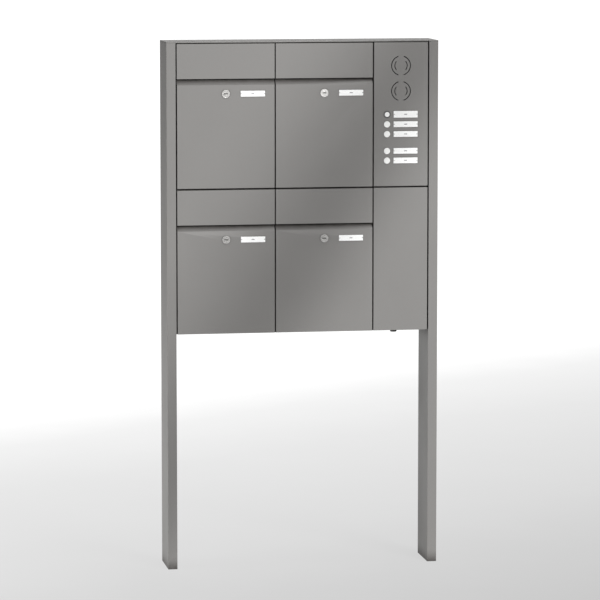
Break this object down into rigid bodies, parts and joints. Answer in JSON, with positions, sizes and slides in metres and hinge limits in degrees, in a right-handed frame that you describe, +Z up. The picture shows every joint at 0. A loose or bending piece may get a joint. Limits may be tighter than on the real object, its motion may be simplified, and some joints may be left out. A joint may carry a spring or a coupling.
{
  "type": "cluster mailbox unit",
  "caption": "Free-standing mailbox cluster on two posts: letter compartments with flaps, hinged doors and cam locks beside a bell and intercom column.",
  "frame": {"origin": "middle of the footprint, on the ground", "axes": "+Z up; the doors face -Y; the bell column is on the +X side"},
  "size_m": [0.83, 0.15, 1.6],
  "materials": {
    "painted_sheet": "satin",
    "plated_steel": "satin",
    "lock_metal": "satin",
    "card": "matte",
    "clear_plastic": "gloss",
    "white_plastic": "satin",
    "black_plastic": "matte",
    "grey_plastic": "matte"
  },
  "bodies": {
    "unit": {"upper_left_housing": "painted_sheet", "upper_left_slot_frame": "painted_sheet", "upper_left_baffle": "painted_sheet", "upper_left_hinge_brackets": "plated_steel", "upper_right_housing": "painted_sheet", "upper_right_slot_frame": "painted_sheet", "upper_right_baffle": "painted_sheet", "upper_right_hinge_brackets": "plated_steel", "lower_left_housing": "painted_sheet", "lower_left_slot_frame": "painted_sheet", "lower_left_baffle": "painted_sheet", "lower_left_hinge_brackets": "plated_steel", "lower_right_housing": "painted_sheet", "lower_right_slot_frame": "painted_sheet", "lower_right_baffle": "painted_sheet", "lower_right_hinge_brackets": "plated_steel", "left_post": "painted_sheet", "right_post": "painted_sheet", "foot_plates": "plated_steel", "top_cover": "painted_sheet", "fixing_screws": "plated_steel", "bell_housing": "painted_sheet", "service_housing": "painted_sheet", "bell_panel": "painted_sheet", "service_panel": "painted_sheet", "button_block": "black_plastic", "bell_cards": "card", "bell_windows": "clear_plastic", "voice_unit": "black_plastic", "power_supply": "grey_plastic", "cable_gland": "black_plastic"},
    "upper_left_door": {"upper_left_door": "painted_sheet", "upper_left_lock_barrel": "lock_metal", "upper_left_name_card": "card", "upper_left_name_window": "clear_plastic"},
    "upper_left_flap": {"upper_left_flap": "painted_sheet"},
    "upper_left_lock": {"upper_left_lock_plug": "lock_metal"},
    "upper_right_door": {"upper_right_door": "painted_sheet", "upper_right_lock_barrel": "lock_metal", "upper_right_name_card": "card", "upper_right_name_window": "clear_plastic"},
    "upper_right_flap": {"upper_right_flap": "painted_sheet"},
    "upper_right_lock": {"upper_right_lock_plug": "lock_metal"},
    "lower_left_door": {"lower_left_door": "painted_sheet", "lower_left_lock_barrel": "lock_metal", "lower_left_name_card": "card", "lower_left_name_window": "clear_plastic"},
    "lower_left_flap": {"lower_left_flap": "painted_sheet"},
    "lower_left_lock": {"lower_left_lock_plug": "lock_metal"},
    "lower_right_door": {"lower_right_door": "painted_sheet", "lower_right_lock_barrel": "lock_metal", "lower_right_name_card": "card", "lower_right_name_window": "clear_plastic"},
    "lower_right_flap": {"lower_right_flap": "painted_sheet"},
    "lower_right_lock": {"lower_right_lock_plug": "lock_metal"},
    "light_button": {"light_button": "white_plastic"},
    "bell_button_1": {"bell_button_1": "white_plastic"},
    "bell_button_2": {"bell_button_2": "white_plastic"},
    "bell_button_3": {"bell_button_3": "white_plastic"},
    "bell_button_4": {"bell_button_4": "white_plastic"}
  },
  "joints": [
    {"name": "upper_left_door_hinge", "type": "hinge", "parent": "unit", "child": "upper_left_door", "pos_m": [-0.0928, -0.0675, 1.314], "axis": [0, 0, 1], "range_deg": [0, 90]},
    {"name": "upper_left_flap_hinge", "type": "hinge", "parent": "unit", "child": "upper_left_flap", "pos_m": [-0.235, -0.0675, 1.5886], "axis": [-1, 0, 0], "range_deg": [0, 70]},
    {"name": "upper_left_lock_turn", "type": "hinge", "parent": "upper_left_door", "child": "upper_left_lock", "pos_m": [-0.235, -0.0735, 1.4436], "axis": [0, 1, 0], "range_deg": [0, 90]},
    {"name": "upper_right_door_hinge", "type": "hinge", "parent": "unit", "child": "upper_right_door", "pos_m": [0.2072, -0.0675, 1.314], "axis": [0, 0, 1], "range_deg": [0, 90]},
    {"name": "upper_right_flap_hinge", "type": "hinge", "parent": "unit", "child": "upper_right_flap", "pos_m": [0.065, -0.0675, 1.5886], "axis": [-1, 0, 0], "range_deg": [0, 70]},
    {"name": "upper_right_lock_turn", "type": "hinge", "parent": "upper_right_door", "child": "upper_right_lock", "pos_m": [0.065, -0.0735, 1.4436], "axis": [0, 1, 0], "range_deg": [0, 90]},
    {"name": "lower_left_door_hinge", "type": "hinge", "parent": "unit", "child": "lower_left_door", "pos_m": [-0.0928, -0.0675, 0.874], "axis": [0, 0, 1], "range_deg": [0, 90]},
    {"name": "lower_left_flap_hinge", "type": "hinge", "parent": "unit", "child": "lower_left_flap", "pos_m": [-0.235, -0.0675, 1.1486], "axis": [-1, 0, 0], "range_deg": [0, 70]},
    {"name": "lower_left_lock_turn", "type": "hinge", "parent": "lower_left_door", "child": "lower_left_lock", "pos_m": [-0.235, -0.0735, 1.0036], "axis": [0, 1, 0], "range_deg": [0, 90]},
    {"name": "lower_right_door_hinge", "type": "hinge", "parent": "unit", "child": "lower_right_door", "pos_m": [0.2072, -0.0675, 0.874], "axis": [0, 0, 1], "range_deg": [0, 90]},
    {"name": "lower_right_flap_hinge", "type": "hinge", "parent": "unit", "child": "lower_right_flap", "pos_m": [0.065, -0.0675, 1.1486], "axis": [-1, 0, 0], "range_deg": [0, 70]},
    {"name": "lower_right_lock_turn", "type": "hinge", "parent": "lower_right_door", "child": "lower_right_lock", "pos_m": [0.065, -0.0735, 1.0036], "axis": [0, 1, 0], "range_deg": [0, 90]},
    {"name": "light_button_press", "type": "slide", "parent": "unit", "child": "light_button", "axis": [0, 1, 0], "range_m": [0, 0.002], "stiffness_N_per_m": 800},
    {"name": "bell_button_1_press", "type": "slide", "parent": "unit", "child": "bell_button_1", "axis": [0, 1, 0], "range_m": [0, 0.002], "stiffness_N_per_m": 800},
    {"name": "bell_button_2_press", "type": "slide", "parent": "unit", "child": "bell_button_2", "axis": [0, 1, 0], "range_m": [0, 0.002], "stiffness_N_per_m": 800},
    {"name": "bell_button_3_press", "type": "slide", "parent": "unit", "child": "bell_button_3", "axis": [0, 1, 0], "range_m": [0, 0.002], "stiffness_N_per_m": 800},
    {"name": "bell_button_4_press", "type": "slide", "parent": "unit", "child": "bell_button_4", "axis": [0, 1, 0], "range_m": [0, 0.002], "stiffness_N_per_m": 800}
  ]
}
